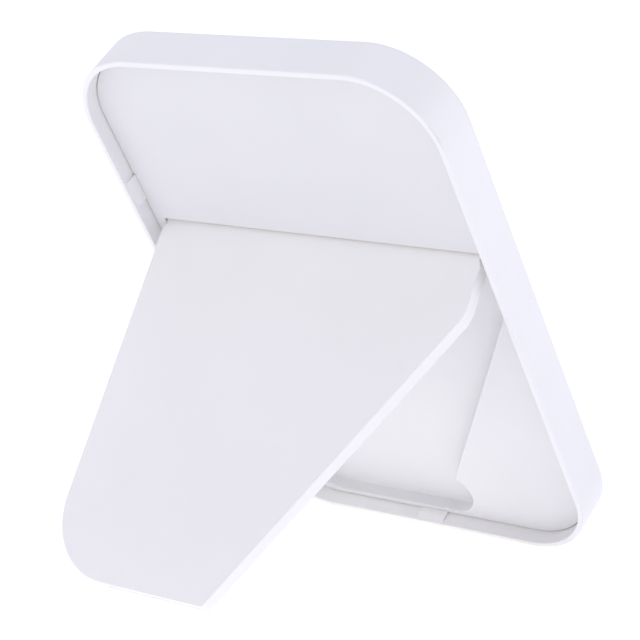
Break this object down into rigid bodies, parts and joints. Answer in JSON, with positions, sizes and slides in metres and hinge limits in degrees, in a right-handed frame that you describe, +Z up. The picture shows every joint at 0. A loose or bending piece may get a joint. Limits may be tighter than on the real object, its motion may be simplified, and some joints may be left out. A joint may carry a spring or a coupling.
{
  "type": "digital photo frame",
  "caption": "Portrait digital photo frame: shallow rounded case, flush glass front, sunk back panel and a wide slanted leg that folds out on a friction hinge; ports and keys in one side.",
  "frame": {"origin": "on the table, under the middle of the standing frame and its open leg", "axes": "+Z up, -Y towards the person looking at the picture, +X to their right; the display leans back about 36 degrees towards +Y"},
  "size_m": [0.1402, 0.15, 0.1776],
  "materials": {
    "case_plastic": "fine satin moulding, white",
    "panel_plastic": "fine matt texture, white",
    "leg_plastic": "fine matt texture, warm white",
    "cover_glass": "polished, with a dark printed border",
    "tape": "matt black foam tape",
    "foam": "open-cell foam",
    "display_glass": "polarised panel",
    "film": "satin film",
    "clear_acrylic": "polished clear plate",
    "led_strip": "white strip with yellow lamps",
    "white_moulding": "matt white",
    "tin_plate": "rolled sheet",
    "amber_flex": "amber polyimide",
    "board_green": "green solder mask",
    "chip_black": "moulded epoxy",
    "ceramic_parts": "fired ceramic with tinned ends",
    "socket_plastic": "ivory nylon",
    "socket_steel": "drawn steel",
    "switch_black": "black nylon",
    "plunger_ivory": "ivory nylon",
    "key_plastic": "satin, white",
    "pouch": "laminated foil",
    "wire_black": "pvc sleeve",
    "wire_red": "pvc sleeve",
    "speaker_black": "moulded box",
    "brass": "turned",
    "screw_steel": "zinc plated",
    "pin_steel": "ground",
    "soft_grip": "pale silicone"
  },
  "bodies": {
    "frame": {"front_shell": "case_plastic", "cover_glass": "cover_glass", "glass_tape": "tape", "display_gasket": "foam", "display_cell": "display_glass", "diffuser_films": "film", "light_guide": "clear_acrylic", "backlight_leds": "led_strip", "mirror_film": "film", "backlight_frame": "white_moulding", "display_tray": "tin_plate", "display_flex": "amber_flex", "mounting_plate": "tin_plate", "board_spacers": "brass", "board_fixings": "screw_steel", "plate_fixings": "screw_steel", "main_board": "board_green", "processor": "chip_black", "memory_chips": "chip_black", "flash_chip": "chip_black", "wireless_module": "socket_steel", "power_parts": "chip_black", "small_parts": "ceramic_parts", "board_sockets": "socket_plastic", "usb_socket": "socket_steel", "card_socket": "socket_steel", "button_switches": "switch_black", "battery": "pouch", "battery_tape": "tape", "battery_pad": "foam", "battery_leads": "wire_red", "speaker": "speaker_black", "speaker_gasket": "foam", "speaker_leads": "wire_black", "wireless_aerial": "amber_flex", "aerial_lead": "wire_black", "back_panel": "panel_plastic", "panel_foam": "foam", "hinge_pins": "pin_steel", "hinge_washers": "pin_steel"},
    "leg": {"stand_leg": "leg_plastic", "foot_strip": "soft_grip"},
    "power_key": {"power_button": "key_plastic", "power_plunger": "plunger_ivory"},
    "menu_key": {"menu_button": "key_plastic", "menu_plunger": "plunger_ivory"}
  },
  "joints": [
    {"name": "leg_hinge", "type": "hinge", "parent": "frame", "child": "leg", "pos_m": [0, 0.0092, 0.11162], "axis": [-1, 0, 0], "range_deg": [0, 66]},
    {"name": "power_press", "type": "slide", "parent": "frame", "child": "power_key", "axis": [-1, 0, 0], "range_m": [0, 0.0005], "stiffness_N_per_m": 1500},
    {"name": "menu_press", "type": "slide", "parent": "frame", "child": "menu_key", "axis": [-1, 0, 0], "range_m": [0, 0.0005], "stiffness_N_per_m": 1500}
  ]
}
